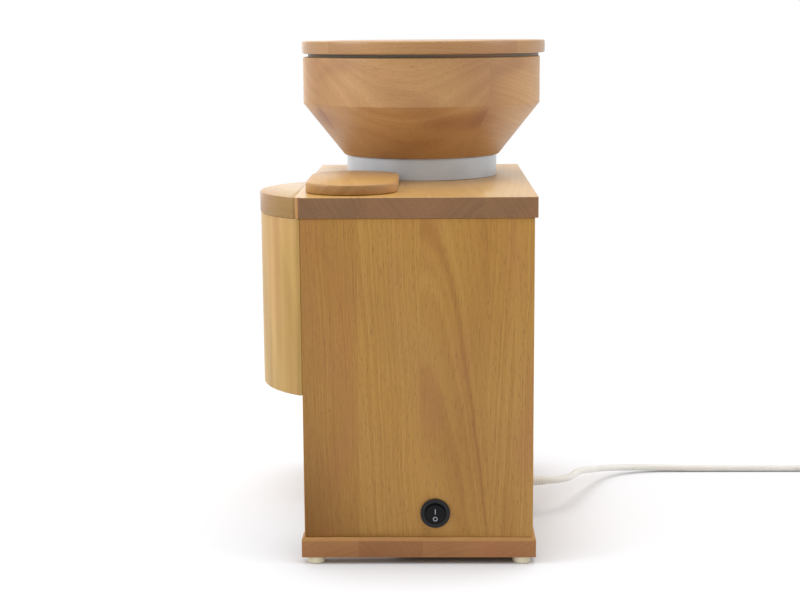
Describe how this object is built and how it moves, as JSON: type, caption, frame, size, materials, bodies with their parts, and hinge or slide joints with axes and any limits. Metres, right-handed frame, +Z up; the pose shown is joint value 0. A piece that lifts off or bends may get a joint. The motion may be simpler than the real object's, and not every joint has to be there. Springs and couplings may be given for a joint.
{
  "type": "electric grain mill",
  "caption": "Household electric grain mill: wooden box casing with a round spout over an open bowl bay, turned lidded hopper on a height-adjusting ring, rocker switch and mains lead.",
  "frame": {"origin": "centre of the outline without the mains lead, on the surface it stands on", "axes": "+Z up, +X towards the side with the switch, +Y towards the rear where the mains lead leaves; the spout and the bowl bay face -Y"},
  "size_m": [0.3048, 0.5853, 0.4036],
  "materials": {
    "top_board_wood": "oiled birch or beech, satin",
    "base_board_wood": "oiled wood, satin",
    "panel_wood": "oiled wood with a cathedral figure, satin",
    "spout_wood": "bent light veneer, satin",
    "hopper_wood": "turned wood, oiled, satin",
    "lid_wood": "turned wood, oiled, satin",
    "cover_wood": "oiled wood, satin",
    "inner_wood": "raw wood",
    "ring_plastic": "white, semi-gloss",
    "collar_plastic": "white, matt",
    "foot_plastic": "cream, matt",
    "screw_steel": "zinc plated",
    "sheet_steel": "stainless sheet",
    "shaft_steel": "ground",
    "cast_aluminium": "cast and turned",
    "lamination": "punched steel sheets, varnished",
    "copper": "copper wire and bars",
    "brass": "bright",
    "stone": "corundum ceramic, rough",
    "seal_rubber": "matt",
    "wiper_plastic": "grey, matt",
    "fan_plastic": "black, matt",
    "brush_carbon": "carbon, matt",
    "switch_plastic": "black, satin",
    "rocker_plastic": null,
    "terminal_plastic": "white, matt",
    "capacitor_plastic": "yellow, potted",
    "wire_plastic": "brown insulation",
    "cord_plastic": "off-white, matt",
    "tie_plastic": "grey, matt"
  },
  "bodies": {
    "casing": {"base_board": "base_board_wood", "near_side_panel": "panel_wood", "far_side_panel": "panel_wood", "rear_panel": "panel_wood", "front_panel": "panel_wood", "bay_side_panel": "panel_wood", "bay_back_panel": "panel_wood", "bay_ceiling": "panel_wood", "corner_battens": "inner_wood", "top_board": "top_board_wood", "spout_shell": "spout_wood", "feet": "foot_plastic", "foot_screws": "screw_steel", "base_screws": "screw_steel", "threaded_collar": "collar_plastic", "collar_screws": "screw_steel", "milling_chamber": "cast_aluminium", "shaft_seal": "seal_rubber", "guide_pins": "shaft_steel", "flour_chute": "sheet_steel", "chute_screws": "screw_steel", "cover_pivot": "shaft_steel", "upper_bearing": "shaft_steel", "lower_bearing": "shaft_steel", "upper_shield": "cast_aluminium", "lower_shield": "cast_aluminium", "stator_core": "lamination", "field_windings": "copper", "carbon_brushes": "brush_carbon", "brush_holders": "brass", "motor_bolts": "screw_steel", "motor_screws": "screw_steel", "switch_housing": "switch_plastic", "switch_terminals": "brass", "terminal_block": "terminal_plastic", "noise_capacitor": "capacitor_plastic", "inner_wires": "wire_plastic", "cord_gland": "cord_plastic", "mains_cord": "cord_plastic", "cord_coil": "cord_plastic", "coil_tie": "tie_plastic", "mains_plug": "cord_plastic"},
    "stone_lift": {"stone_carrier": "cast_aluminium", "upper_stone": "stone"},
    "hopper": {"hopper_bowl": "hopper_wood", "adjusting_ring": "ring_plastic", "hopper_screws": "screw_steel", "retaining_ring": "shaft_steel"},
    "lid": {"hopper_lid": "lid_wood"},
    "rotor": {"motor_shaft": "shaft_steel", "armature_core": "lamination", "armature_winding": "copper", "commutator": "copper", "cooling_fan": "fan_plastic", "lower_stone": "stone", "stone_holder": "cast_aluminium", "wiper_blades": "wiper_plastic", "stone_nut": "screw_steel"},
    "rocker": {"switch_rocker": "rocker_plastic"},
    "cover": {"channel_cover": "cover_wood"}
  },
  "joints": [
    {"name": "stone_gap", "type": "slide", "parent": "casing", "child": "stone_lift", "axis": [0, 0, 1], "range_m": [0, 0.00151]},
    {"name": "fineness_turn", "type": "hinge", "parent": "stone_lift", "child": "hopper", "pos_m": [-0.04785, 0.01062, 0.2976], "axis": [0, 0, 1], "range_deg": [0, 270]},
    {"name": "lid_lift", "type": "slide", "parent": "hopper", "child": "lid", "axis": [0, 0, 1], "range_m": [0, 0.12]},
    {"name": "motor_spin", "type": "hinge", "parent": "casing", "child": "rotor", "pos_m": [-0.04785, 0.01062, 0.17], "axis": [0, 0, 1], "continuous": true},
    {"name": "rocker_tilt", "type": "hinge", "parent": "casing", "child": "rocker", "pos_m": [0.14845, 0.02112, 0.0414], "axis": [0, -1, 0], "range_deg": [0, 22]},
    {"name": "cover_swing", "type": "hinge", "parent": "casing", "child": "cover", "pos_m": [0.10115, -0.04338, 0.292], "axis": [0, 0, 1], "range_deg": [0, 90]}
  ],
  "couplings": [
    {"joint": "stone_gap", "follows": "fineness_turn", "m_per_rad": 0.00031831}
  ]
}
